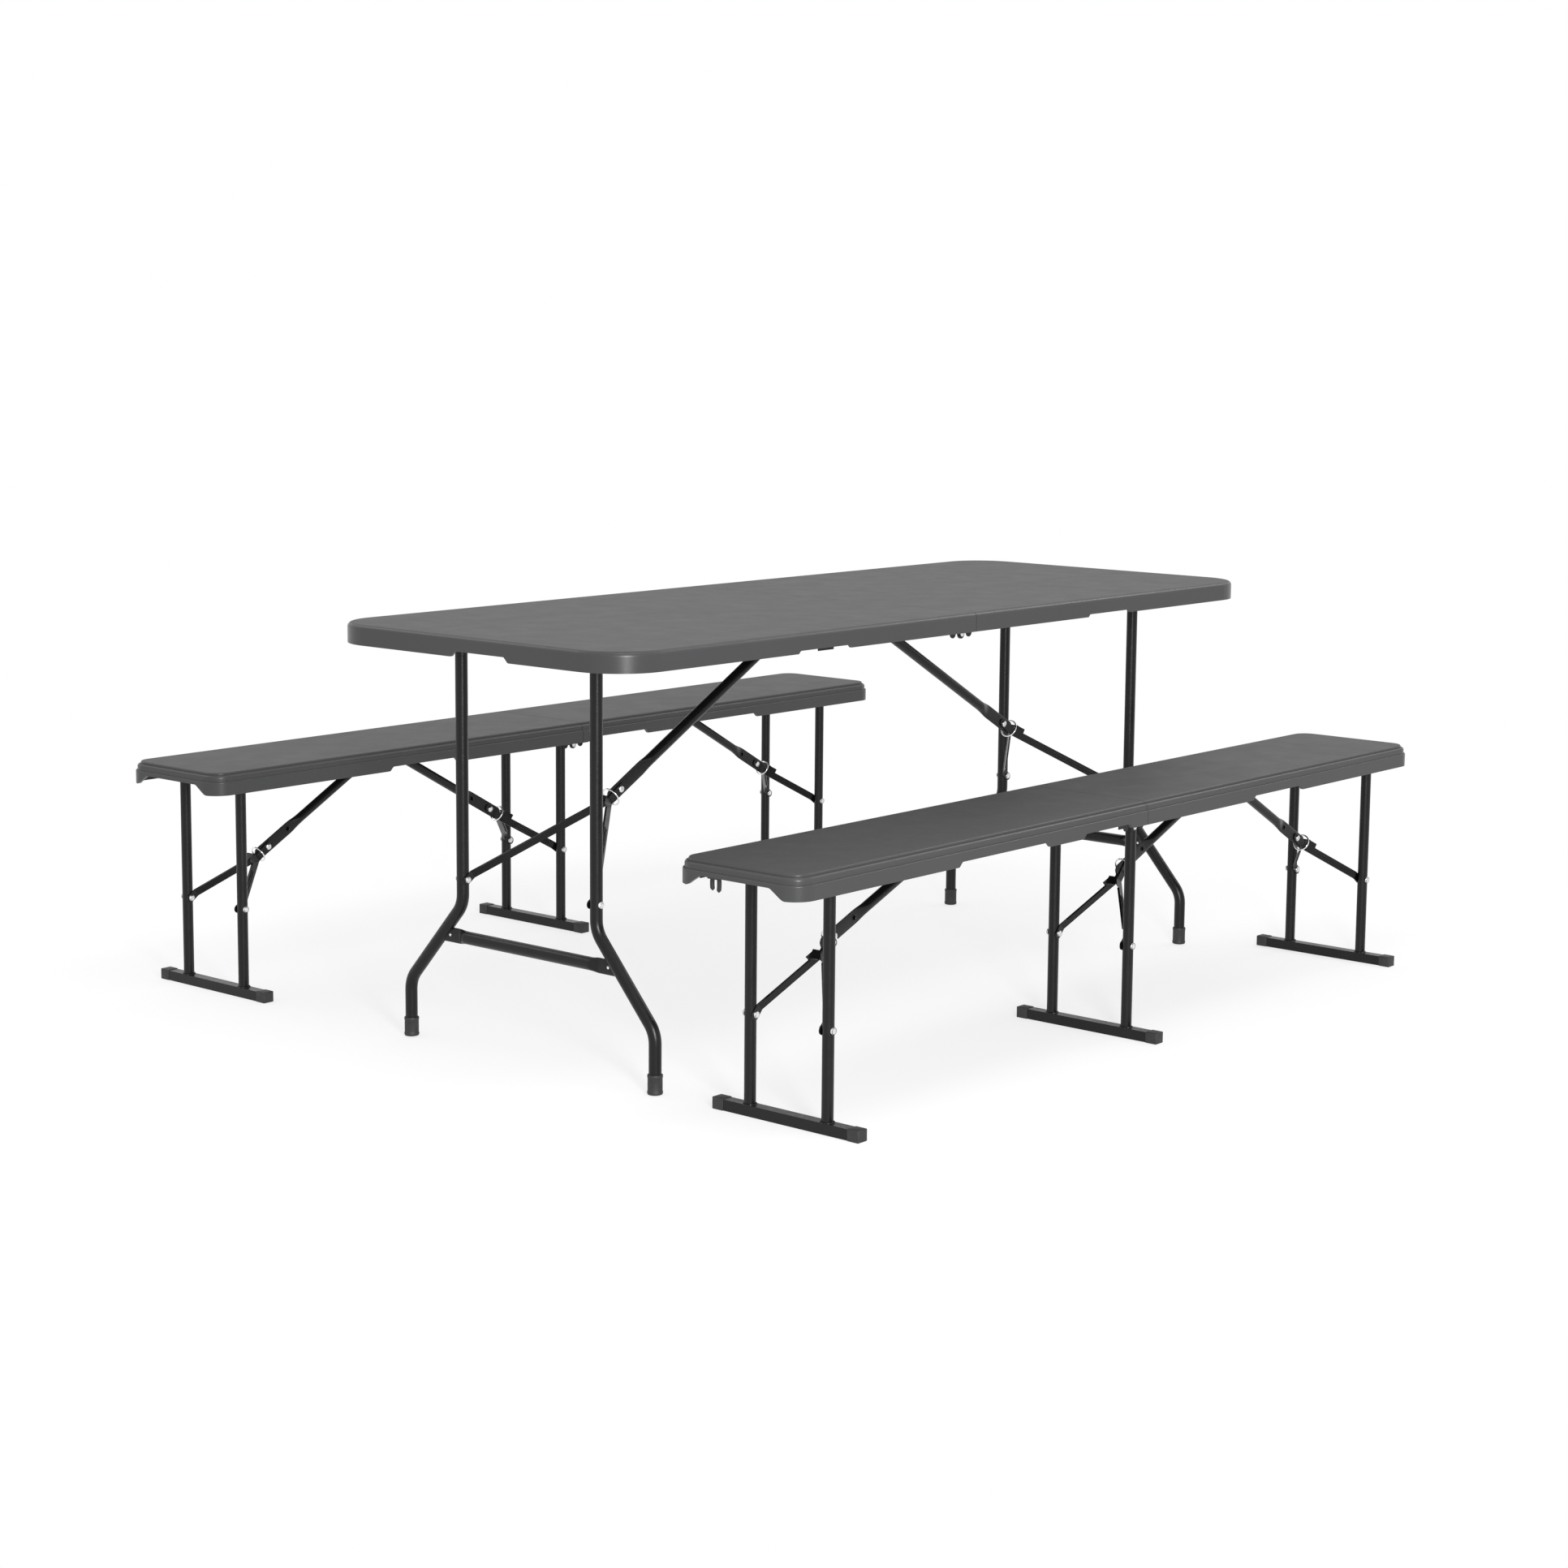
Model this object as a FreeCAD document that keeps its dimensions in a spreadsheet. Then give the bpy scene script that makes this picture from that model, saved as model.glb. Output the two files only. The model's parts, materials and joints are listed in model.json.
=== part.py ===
"""Folding picnic table with two folding benches.

Every top folds in half about a seam across its middle, and every leg folds under its half on a pivot
tube. A brace with an elbow holds each leg upright, and a wire ring slid over the elbow locks it.

Lengths are in millimetres. +X runs along the table, +Z is up, and the origin is on the floor below the
middle of the whole set. Each half is modelled from its seam outwards along its own +X. Each leg is
modelled about its pivot, with its own +X towards the side that it folds to.
"""

import FreeCAD, Part
import math
import os
import re

SIZES = {
    # the set
    "table_length": 1800, "table_width": 684, "table_height": 725,
    "bench_length": 1843, "bench_width": 252, "bench_height": 423,
    "bench_one_x": 40, "bench_one_y": -560, "bench_two_x": 54, "bench_two_y": 806,
    "seam_gap": 1,
    # table top
    "table_depth": 34, "table_plate": 11, "table_corner": 92, "table_edge": 8, "table_wall": 5,
    "table_end_notch_start": -35, "table_end_notch_end": 96, "table_end_notch_depth": 9,
    "table_notch_start": 345, "table_notch_end": 480, "table_notch_depth": 5,
    "table_notch_round": 3,
    "table_groove_start": 120, "table_groove_end": 720, "table_groove_depth": 5,
    "table_groove_half": 22,
    # bench seat: its edge steps in twice, and each step has a rounded edge
    "bench_depth": 40, "bench_plate": 12, "bench_corner": 38, "bench_wall": 6,
    "bench_skirt_top": 15.5, "bench_skirt_edge": 2.5,
    "bench_band_top": 4.5, "bench_band_edge": 5, "bench_band_inset": 3,
    "bench_rim_edge": 2.5, "bench_rim_inset": 9, "bench_step_overlap": 3,
    "bench_arch_depth": 17, "bench_arch_margin": 30, "bench_arch_slope": 26,
    "bench_arch_round": 11, "bench_arch_foot_round": 14, "end_notch_reach": 4,
    "bench_notch_depth": 8, "bench_notch_round": 4,
    "seat_notch_one_start": 45, "seat_notch_one_end": 190,
    "seat_notch_two_start": 285, "seat_notch_two_end": 530,
    "seat_notch_three_start": 340, "seat_notch_three_end": 512,
    "bench_groove_start": 60, "bench_groove_end": 850, "bench_groove_depth": 4,
    "bench_groove_half": 20,
    "clip_y": -48.5, "clip_half": 11, "clip_plate": 4, "clip_reach": 22, "clip_drop": 24,
    "clip_prong_start": 5, "clip_prong_end": 10, "clip_prong_inner": 3, "clip_prong_outer": 9.5,
    # steel frames under the tops
    "rail_sheet": 1.5, "fold_play": 0.1, "running_play": 0.05, "fixed_play": 0.02,
    "table_rail": 306, "table_rail_drop": 23, "table_rail_end": 62, "table_flange": 24,
    "table_pivot": 700, "table_fold": 685, "table_lug": 9, "table_strip": 30,
    "seam_opening_margin": 6,
    "bench_rail": 94.5, "bench_rail_drop": 22, "bench_rail_end": 30, "bench_flange": 18,
    "bench_pivot": 398, "bench_fold": 376, "bench_lug": 8, "bench_strip": 26,
    "lug_reach": 44, "lug_root": 12, "lug_second_eye": 22, "lug_head_room": 6, "lug_step": 9,
    "rail_tab_drop": 5, "rail_tab_a_start": 350, "rail_tab_a_end": 390,
    "rail_tab_b_start": 612, "rail_tab_b_end": 655,
    "fold_pin": 3, "fold_pin_head": 5, "fold_pin_head_thick": 2,
    "brace_pin": 3, "pin_head_thick": 2, "brace_tab_reach": 20,
    "cheek_gap": 0.6, "cheek_half": 11, "cheek_drop": 8,
    # table legs
    "table_leg_x": 763, "table_tube": 21, "tube_wall": 1.2, "table_leg_half": 157,
    "table_foot_half": 288, "table_bend_high": 248, "table_bend_low": 100, "table_bend_radius": 48,
    "table_pivot_pin": 5,
    "pivot_end_gap": 0.5, "pivot_pin_reach": 5, "pivot_pin_root": 6, "pivot_bore_stop": 12,
    "crossbar_z": 192, "crossbar_tube": 22, "crossbar_wall": 1.5, "crossbar_flat_height": 26,
    "crossbar_flat_thick": 6, "crossbar_flat_length": 42, "crossbar_flare": 18,
    "foot_cap": 24.5, "foot_cap_height": 33, "foot_sole": 3,
    # bench legs
    "bench_end_a_x": 792, "bench_middle_x": 18, "bench_end_b_x": 828, "bench_tube": 19,
    "bench_leg_half": 79, "bench_pivot_pin": 4, "foot_bar_length": 295, "foot_bar_depth": 20,
    "foot_bar_height": 18, "foot_bar_wall": 1.5,
    # braces: each is longer by its slack than the straight line from the leg's rivet to the bracket under
    # the top, so its elbow stands a little above that line
    "table_slack": 0.56, "bench_slack": 0.6, "high_slack": 11.2,
    "table_rivet_z": 292, "table_bracket": 680, "table_brace_tube": 19, "table_brace_flat": 26,
    "bench_rivet_z": 162.5, "bench_bracket": 385, "bench_brace_tube": 17, "bench_brace_flat": 24,
    "flat_thick": 3, "flat_length": 58, "flare_length": 32, "tail": 30, "tail_narrowing": 5,
    "bracket_end": 6,
    "arm_thick": 2, "arm_height": 15, "arm_nose": 12, "arm_straight": 32, "arm_tab": 14,
    "arm_gap": 0.1, "arm_overhang": 10, "arm_reach": 200,
    "rib_height": 1.5, "rib_width": 4.5, "rib_stop": 26,
    "lobe_rise": 9, "lobe_length": 16, "lobe_setback": 4, "bridge_thick": 2.5, "bridge_half": 9,
    "rivet_radius": 3, "head_radius": 5.5, "head_thick": 2.4,
    "ring_wire": 3, "ring_at": 24, "high_ring_at": 8, "table_ring_radius": 16.5, "bench_ring_radius": 15,
    # the crossbar meets the folded brace, and the foot bars meet the notches, just short of level
    "table_leg_turn": 87.5, "bench_leg_turn": 86.5,
}

document = FreeCAD.newDocument("picnic_table")
sheet = document.addObject("Spreadsheet::Sheet", "sizes")
for row, (name, size) in enumerate(SIZES.items(), start=1):
    sheet.set(f"A{row}", name)
    sheet.set(f"B{row}", str(size))
    sheet.setAlias(f"B{row}", name)
document.recompute()

Vector = FreeCAD.Vector
Rotation = FreeCAD.Rotation
Placement = FreeCAD.Placement
X_AXIS, Y_AXIS, Z_AXIS = Vector(1, 0, 0), Vector(0, 1, 0), Vector(0, 0, 1)
nodes = []


def size(name):
    """A size from the sheet, as a number."""
    return float(sheet.get(name))


def bind(thing, prop, formula):
    """Ties a property to a formula of the sheet's aliases."""
    def cell(match):
        word = match.group()
        return "sizes." + word if word in SIZES else word

    thing.setExpression(prop, re.sub(r"[a-z_]+", cell, str(formula)))


def box(x, y, z):
    """A box between three pairs of formulas."""
    thing = document.addObject("Part::Box", "box")
    for prop, coordinate, (low, high) in zip(("Length", "Width", "Height"), "xyz", (x, y, z)):
        bind(thing, prop, f"({high}) - ({low})")
        bind(thing, f"Placement.Base.{coordinate}", low)
    return thing


def rod(radius, low, high, along=Y_AXIS, x=0, y=0, z=0):
    """A round rod along an axis, between two formulas, with its axis through (x, y, z)."""
    thing = document.addObject("Part::Cylinder", "rod")
    thing.Placement = Placement(Vector(), Rotation(Z_AXIS, along))
    start = {"x": x, "y": y, "z": z}
    moving = "xyz"[(along.x, along.y, along.z).index(1)]
    start[moving] = low
    bind(thing, "Radius", radius)
    bind(thing, "Height", f"({high}) - ({low})")
    for coordinate, formula in start.items():
        bind(thing, f"Placement.Base.{coordinate}", formula)
    return thing


def fuse(things):
    """One solid made of several."""
    if len(things) == 1:
        return things[0]
    thing = document.addObject("Part::MultiFuse", "fuse")
    thing.Shapes = things
    thing.Refine = True
    return thing


def cut(base, tools):
    """The base with the tools' volumes removed."""
    thing = document.addObject("Part::Cut", "cut")
    thing.Base = base
    thing.Tool = fuse(tools)
    return thing


def group(things):
    """Separate solids kept together in one node."""
    thing = document.addObject("Part::Compound", "group")
    thing.Links = things
    return thing


def made(shape, name):
    """A piece whose shape comes from Part's own functions."""
    thing = document.addObject("Part::Feature", name)
    thing.Shape = shape
    return thing


def node(thing, name, where):
    """Names a finished sub-part and puts it in its place."""
    thing.Label = name
    thing.Placement = where
    nodes.append(thing)
    return thing


def place(x=0.0, y=0.0, z=0.0, turn=0.0):
    """A placement at a point, turned about +Z."""
    return Placement(Vector(x, y, z), Rotation(Z_AXIS, turn))


# ---------------------------------------------------------------- sketches


def new_body(name):
    return document.addObject("PartDesign::Body", name)


def new_sketch(body, plane, offset=0):
    """A sketch on one of the body's origin planes, offset along the plane's normal by a formula."""
    sketch = body.newObject("Sketcher::SketchObject", "sketch")
    features = {feature.Role: feature for feature in body.Origin.OriginFeatures}
    sketch.AttachmentSupport = [(features[plane], "")]
    sketch.MapMode = "FlatFace"
    bind(sketch, "AttachmentOffset.Base.z", offset)
    return sketch


def outline(sketch, corners):
    """Closes a sketch through corners given as (x, y, radius), with an arc at each that has a radius."""
    points = [Vector(x, y, 0) for x, y, radius in corners]
    count = len(points)
    ends = []
    for i, (x, y, radius) in enumerate(corners):
        before = (points[i - 1] - points[i]).normalize()
        after = (points[(i + 1) % count] - points[i]).normalize()
        if radius == 0:
            ends.append((points[i], points[i]))
            continue
        half_angle = before.getAngle(after) / 2
        setback = radius / math.tan(half_angle)
        start = points[i] + before * setback
        end = points[i] + after * setback
        middle = points[i] + (before + after).normalize() * (radius / math.sin(half_angle) - radius)
        sketch.addGeometry(Part.Arc(start, middle, end), False)
        ends.append((start, end))
    for i in range(count):
        start, end = ends[i][1], ends[(i + 1) % count][0]
        if (end - start).Length > 1e-6:
            sketch.addGeometry(Part.LineSegment(start, end), False)


def pad(body, sketch, length):
    """A pad along the sketch's normal."""
    feature = body.newObject("PartDesign::Pad", "pad")
    feature.Profile = sketch
    bind(feature, "Length", length)
    document.recompute()
    return feature


def pocket(body, sketch, depth, inwards=True):
    """A pocket along the sketch's normal, or against it, checked to have removed something."""
    before = body.Shape.Volume
    feature = body.newObject("PartDesign::Pocket", "pocket")
    feature.Profile = sketch
    feature.Reversed = inwards
    bind(feature, "Length", depth)
    document.recompute()
    if body.Shape.Volume > before - 1:
        raise RuntimeError(f"{body.Label}: a pocket cut nothing")
    return feature


def round_edges(body, feature, radius, keep):
    """Fillets the feature's edges that pass the test."""
    names = [f"Edge{i}" for i, edge in enumerate(feature.Shape.Edges, start=1) if keep(edge)]
    fillet = body.newObject("PartDesign::Fillet", "fillet")
    fillet.Base = (feature, names)
    bind(fillet, "Radius", radius)
    document.recompute()
    return fillet


def level_edge(height):
    """A test for edges that lie flat at one height."""
    return lambda edge: abs(edge.BoundBox.ZMin - height) < 0.01 and abs(edge.BoundBox.ZMax - height) < 0.01


# ---------------------------------------------------------------- tops and seats


def half_outline(kind, inset=0.0):
    """A half's plan: square at the seam, round at the two outer corners."""
    start = size("seam_gap") / 2
    end = size(kind + "_length") / 2 - inset
    side = size(kind + "_width") / 2 - inset
    radius = size(kind + "_corner") - inset
    return [(start, -side, 0), (end, -side, radius), (end, side, radius), (start, side, 0)]


def hollow_outline(kind):
    """The plan of the hollow under a half: it leaves a wall all round."""
    wall = size(kind + "_wall")
    start = size("seam_gap") / 2 + wall
    end = size(kind + "_length") / 2 - wall
    side = size(kind + "_width") / 2 - wall
    radius = size(kind + "_corner") - wall
    return [(start, -side, 0), (end, -side, radius), (end, side, radius), (start, side, 0)]


def seam_opening(kind, side):
    """The gap in the seam wall that the rail and its fold lug pass through."""
    wall = size(kind + "_wall")
    inner = size(kind + "_rail") - size("seam_opening_margin")
    outer = size(kind + "_width") / 2 - wall
    start, end = size("seam_gap") / 2 - 1, size("seam_gap") / 2 + wall + 1
    low, high = sorted((side * inner, side * outer))
    return [(start, low, 0), (end, low, 0), (end, high, 0), (start, high, 0)]


def rectangle(x_low, x_high, y_low, y_high):
    return [(x_low, y_low, 0), (x_high, y_low, 0), (x_high, y_high, 0), (x_low, y_high, 0)]


def hollow_and_groove(body, kind):
    """The hollow that takes the frame and the folded legs, and the groove that takes the folded brace."""
    floor = f"{kind}_height - {kind}_depth"
    hollow = new_sketch(body, "XY_Plane", floor)
    outline(hollow, hollow_outline(kind))
    pocket(body, hollow, f"{kind}_depth - {kind}_plate")
    openings = new_sketch(body, "XY_Plane", floor)
    for side in (-1, 1):
        outline(openings, seam_opening(kind, side))
    pocket(body, openings, f"{kind}_depth - {kind}_plate")
    groove = new_sketch(body, "XY_Plane", floor)
    half = size(kind + "_groove_half")
    outline(groove, rectangle(size(kind + "_groove_start"), size(kind + "_groove_end"), -half, half))
    pocket(body, groove, f"{kind}_depth - {kind}_plate + {kind}_groove_depth")


def notch_outline(start, end, floor, rise, slope, root, foot):
    """The outline of a notch in a wall's lower edge: root rounds its inner corners and foot its outer ones."""
    below, run = floor - 1, foot + 1
    return [
        (start - run, below, 0), (end + run, below, 0), (end + run, floor, 0), (end, floor, foot),
        (end - slope, floor + rise, root), (start + slope, floor + rise, root), (start, floor, foot),
        (start - run, floor, 0),
    ]


def end_notch(body, kind, corners):
    """A notch in the end wall's lower edge, drawn on the YZ plane and cut inwards from the end."""
    notch = new_sketch(body, "YZ_Plane", f"{kind}_length / 2 - {kind}_wall - end_notch_reach")
    outline(notch, corners)
    pocket(body, notch, f"{kind}_wall + end_notch_reach + 1")


def side_notch(body, kind, start, end):
    """A notch in both long walls' lower edges, with sloping ends."""
    floor = size(kind + "_height") - size(kind + "_depth")
    rise = size(kind + "_notch_depth")
    notch = new_sketch(body, "XZ_Plane", f"{kind}_width / 2 + 1")
    outline(notch, notch_outline(start, end, floor, rise, rise, size(kind + "_notch_round"), 0))
    pocket(body, notch, f"{kind}_width + 2", inwards=False)


def rounded_rim(kind, height):
    """A test for the level edges round a half, apart from the one at its seam."""
    level = level_edge(height)
    return lambda edge: level(edge) and edge.BoundBox.XMax > size(kind + "_corner")


def table_top(name, where):
    """Half of the table top: a plate with a rounded edge and a wall round three sides and the seam."""
    body = new_body(name)
    sketch = new_sketch(body, "XY_Plane", "table_height - table_depth")
    outline(sketch, half_outline("table"))
    slab = pad(body, sketch, "table_depth")
    round_edges(body, slab, "table_edge", rounded_rim("table", size("table_height")))
    hollow_and_groove(body, "table")
    floor = size("table_height") - size("table_depth")
    rise = size("table_end_notch_depth")
    start, end = size("table_end_notch_start"), size("table_end_notch_end")
    end_notch(body, "table", notch_outline(start, end, floor, rise, rise, rise / 2, rise / 2))
    side_notch(body, "table", size("table_notch_start"), size("table_notch_end"))
    return node(body, name, where)


def bench_seat(name, notches, where):
    """Half of a bench seat: an edge in three rounded steps, an arched end wall and notched long walls."""
    body = new_body(name)
    floor = "bench_height - bench_depth"
    steps = [("0", floor, "bench_skirt_top", "bench_skirt_edge"),
             ("bench_band_inset", "bench_height - bench_skirt_top - bench_step_overlap", "bench_band_top",
              "bench_band_edge"),
             ("bench_rim_inset", "bench_height - bench_band_top - bench_step_overlap", "0", "bench_rim_edge")]
    for inset, low, top, radius in steps:
        plan = new_sketch(body, "XY_Plane", low)
        outline(plan, half_outline("bench", size(inset) if inset in SIZES else 0))
        step = pad(body, plan, f"bench_height - {top} - ({low})")
        height = size("bench_height") - (size(top) if top in SIZES else 0)
        round_edges(body, step, radius, rounded_rim("bench", height))
    hollow_and_groove(body, "bench")
    foot = size("bench_width") / 2 - size("bench_arch_margin")
    floor = size("bench_height") - size("bench_depth")
    rise, slope = size("bench_arch_depth"), size("bench_arch_slope")
    root_round, foot_round = size("bench_arch_round"), size("bench_arch_foot_round")
    end_notch(body, "bench", notch_outline(-foot, foot, floor, rise, slope, root_round, foot_round))
    for notch in notches:
        side_notch(body, "bench", size(notch + "_start"), size(notch + "_end"))
    return node(body, name, where)


# ---------------------------------------------------------------- frames under the tops


def across(side, low, high):
    """A pair of formulas measured outwards from the middle, towards one side."""
    return (low, high) if side == 1 else (f"-({high})", f"-({low})")


def lug(kind, web, step):
    """A fold lug: an eye about the fold axis and a root on the rail, which may lie a step lower."""
    fold = kind + "_fold"
    head = f"{kind}_height - {kind}_plate - lug_head_room - {step}"
    return [
        rod(f"{kind}_lug", *web, x=0, z=fold),
        box((0, "lug_reach"), web, (fold, f"{fold} + {kind}_lug")),
        box(("lug_root", "lug_reach"), web, (fold, head)),
        rod(f"{kind}_lug - 1", *web, x="lug_second_eye", z=f"{fold} + 1"),
    ]


def rail(kind, half, side):
    """One L rail with its fold lug, and below a table's rail two tabs that hold the folded halves."""
    top = f"({kind}_height - {kind}_plate)"
    shift = "fold_play" if half == "b" else "0"
    inner = f"({kind}_rail + {shift})"
    outer = f"({inner} + rail_sheet)"
    web = across(side, inner, outer)
    lug_web = web if half == "a" else across(side, outer, f"{outer} + rail_sheet")
    start = "seam_gap" if half == "a" else f"{kind}_lug + 3"
    end = f"{kind}_length / 2 - {kind}_rail_end"
    bottom = f"({top} - {kind}_rail_drop)"
    pieces = [
        box((start, end), web, (bottom, top)),
        box((start, end), across(side, inner, f"{inner} + {kind}_flange"), (f"{top} - rail_sheet", top)),
    ]
    if kind == "table":
        for tab in ("rail_tab_a", "rail_tab_b"):
            pieces.append(box((tab + "_start", tab + "_end"), web, (f"{bottom} - rail_tab_drop", top)))
    return pieces + lug(kind, lug_web, "0" if half == "a" else "lug_step")


def bracket_pieces(kind, bracket):
    """The strip across the rails and the two cheeks that hold an upper brace's end."""
    top = f"({kind}_height - {kind}_plate)"
    cheek = f"({kind}_brace_tube / 2 + cheek_gap)"
    reach = f"({kind}_rail + fold_play)"
    pieces = [box((f"{bracket} - {kind}_strip / 2", f"{bracket} + {kind}_strip / 2"), (f"-{reach}", reach),
                  (f"{top} - rail_sheet", top))]
    for side in (1, -1):
        web = across(side, cheek, f"{cheek} + rail_sheet")
        span = f"{bracket} - cheek_half", f"{bracket} + cheek_half"
        pieces.append(box(span, web, (f"{kind}_pivot - cheek_drop", top)))
    return pieces


def frame(kind, name, half, legs, where):
    """The steel frame under a half: half a has its lugs in the plane of the rail's web and b outside it.

    legs lists each leg's (pivot x, bracket x). A bench's brace pins are welded into their cheeks.
    """
    rail_bore = f"-{kind}_rail - 5", f"{kind}_rail + 5"
    lug_bore = "fold_pin + fixed_play" if half == "a" else "fold_pin + running_play"
    solids, holes = [], [rod(lug_bore, *rail_bore, x=0, z=f"{kind}_fold")]
    for side in (1, -1):
        solids += rail(kind, half, side)
    for pivot, bracket in legs:
        solids += bracket_pieces(kind, bracket)
        holes.append(rod(f"{kind}_pivot_pin + running_play", *rail_bore, x=pivot, z=f"{kind}_pivot"))
        if kind == "table":
            holes.append(rod("brace_pin + fixed_play", "-brace_tab_reach", "brace_tab_reach", x=bracket,
                             z=f"{kind}_pivot"))
    solids += [brace_pin(kind, bracket) for pivot, bracket in legs if kind == "bench"]
    return node(cut(fuse(solids), holes), name, where)


def brace_pin(kind, bracket):
    """The pin that an upper brace turns on, headed outside both cheeks of its bracket."""
    reach = f"({kind}_brace_tube / 2 + cheek_gap + rail_sheet)"
    place_of_pin = {"x": bracket, "z": f"{kind}_pivot"}
    heads = [rod("head_radius", *across(side, reach, f"{reach} + pin_head_thick"), **place_of_pin)
             for side in (1, -1)]
    return fuse([rod("brace_pin", f"-{reach} - 1", f"{reach} + 1", **place_of_pin)] + heads)


def fold_pins(kind, name, where):
    """The two fold pins: each passes through both lugs and has a head at each end."""
    pins = []
    inner = f"({kind}_rail - 0.2)"
    outer = f"({kind}_rail + 2 * rail_sheet + 2 * fold_play)"
    for side in (1, -1):
        spans = [("fold_pin", inner, outer), ("fold_pin_head", f"{inner} - fold_pin_head_thick", inner),
                 ("fold_pin_head", outer, f"{outer} + fold_pin_head_thick")]
        pins.append(fuse([rod(radius, *across(side, low, high), z=f"{kind}_fold")
                          for radius, low, high in spans]))
    return node(group(pins), name, where)


# ---------------------------------------------------------------- legs


def path_wire(points, radius):
    """A wire through points with a tangent arc at each inner one."""
    edges = []
    start = points[0]
    for i in range(1, len(points) - 1):
        before = (points[i - 1] - points[i]).normalize()
        after = (points[i + 1] - points[i]).normalize()
        half_angle = before.getAngle(after) / 2
        setback = radius / math.tan(half_angle)
        first, last = points[i] + before * setback, points[i] + after * setback
        middle = points[i] + (before + after).normalize() * (radius / math.sin(half_angle) - radius)
        edges.append(Part.LineSegment(start, first).toShape())
        edges.append(Part.Arc(first, middle, last).toShape())
        start = last
    edges.append(Part.LineSegment(start, points[-1]).toShape())
    return Part.Wire(edges)


def bent_rod(points, radius):
    """A round section swept down a bent path that starts straight down."""
    spine = made(path_wire(points, size("table_bend_radius")), "spine")
    section = document.addObject("Part::Circle", "section")
    bind(section, "Radius", radius)
    section.Placement = Placement(points[0], Rotation())
    sweep = document.addObject("Part::Sweep", "sweep")
    sweep.Sections = [section]
    sweep.Spine = (spine, [f"Edge{i}" for i in range(1, len(spine.Shape.Edges) + 1)])
    sweep.Solid = True
    sweep.Frenet = False
    return sweep


def table_leg_points(side, sole):
    """The path of one table leg tube below its pivot: down, outwards, and down again to the foot."""
    pivot = size("table_pivot")
    half, foot = side * size("table_leg_half"), side * size("table_foot_half")
    return [Vector(0, half, 0), Vector(0, half, size("table_bend_high") - pivot),
            Vector(0, foot, size("table_bend_low") - pivot), Vector(0, foot, sole - pivot)]


def leg_rivets(kind):
    """The brace rivets: a shank through each leg tube and a head outside it."""
    rivets = []
    depth = f"{kind}_rivet_z - {kind}_pivot"
    inner = f"({kind}_leg_half - {kind}_tube / 2)"
    outer = f"({kind}_leg_half + {kind}_tube / 2)"
    for side in (1, -1):
        rivets.append(fuse([
            rod("rivet_radius", *across(side, inner, f"{outer} + head_thick"), z=depth),
            rod("head_radius", *across(side, f"{outer} - 0.6", f"{outer} + head_thick"), z=depth),
        ]))
    return group(rivets)


def pivot_tube(kind):
    """A leg's pivot tube as its outside, its bore and the two solid ends that turn in the rails."""
    span = f"({kind}_rail - pivot_end_gap)"
    outside = rod(f"{kind}_tube / 2", f"-{span}", span)
    bore = rod(f"{kind}_tube / 2 - tube_wall", f"-{span} + pivot_bore_stop", f"{span} - pivot_bore_stop")
    pin = f"{kind}_pivot_pin"
    ends = [rod(pin, *across(side, f"{span} - pivot_pin_root", f"{span} + pivot_pin_reach"))
            for side in (1, -1)]
    return outside, bore, ends


def table_leg_frame():
    """Two bent tubes welded to a pivot tube, whose solid ends turn in the rails."""
    sole = size("foot_sole")
    tube, bore, ends = pivot_tube("table")
    outside, inside = [tube], [bore]
    for side in (1, -1):
        outside.append(bent_rod(table_leg_points(side, sole), "table_tube / 2"))
        inside.append(bent_rod(table_leg_points(side, sole - 1), "table_tube / 2 - tube_wall"))
    return fuse([cut(fuse(outside), inside)] + ends)


def ellipse(x, half_height, half_width):
    """An upright ellipse across the X axis, as one section of a flattened tube."""
    thing = document.addObject("Part::Ellipse", "ellipse")
    bind(thing, "MajorRadius", half_height)
    bind(thing, "MinorRadius", half_width)
    thing.Placement = Placement(Vector(x, 0, 0), Rotation(Z_AXIS, Y_AXIS, X_AXIS, "ZXY"))
    return thing


def flattened_rod(stations):
    """A tube that is pressed flat: stations are (x, half height, half width), with numbers or formulas."""
    loft = document.addObject("Part::Loft", "loft")
    loft.Sections = [ellipse(*station) for station in stations]
    loft.Solid = True
    loft.Ruled = True
    return loft


def flare(start, end, flat_half, flat_thick, round_half, steps=5):
    """Stations that blend from the flat section to the round one."""
    stations = []
    for i in range(steps + 1):
        blend = (1 - math.cos(math.pi * i / steps)) / 2
        stations.append((start + (end - start) * i / steps,
                         f"({flat_half}) * {1 - blend:.5f} + ({round_half}) * {blend:.5f}",
                         f"({flat_thick}) * {1 - blend:.5f} + ({round_half}) * {blend:.5f}"))
    return stations


def flattened_ends(reach, wall):
    """Stations along a tube that is round in the middle and pressed flat towards both ends, less a wall."""
    tube, height, thick = (f"({name} / 2 - {wall})" for name in
                           ("crossbar_tube", "crossbar_flat_height", "crossbar_flat_thick"))
    flat_start = reach - size("crossbar_flat_length")
    stations = flare(flat_start, flat_start - size("crossbar_flare"), height, thick, tube)
    stations = [(reach, height, thick)] + stations
    return stations + [(-x, high, wide) for x, high, wide in reversed(stations)]


def crossbar(name, where):
    """The tube between the two bent legs, pressed flat at both ends and coped to their sides."""
    spread = size("table_foot_half") - size("table_leg_half")
    slope = spread / (size("table_bend_high") - size("table_bend_low"))
    reach = size("table_leg_half") + (size("table_bend_high") - size("crossbar_z")) * slope
    bar = flattened_rod(flattened_ends(reach, "0"))
    bore = flattened_rod(flattened_ends(reach, "crossbar_wall"))
    hollow = cut(bar, [bore])
    hollow.Placement = place(z=size("crossbar_z") - size("table_pivot"), turn=90)
    tools = [bent_rod(table_leg_points(side, 0), "table_tube / 2") for side in (1, -1)]
    return node(cut(hollow, tools), name, where)


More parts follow.
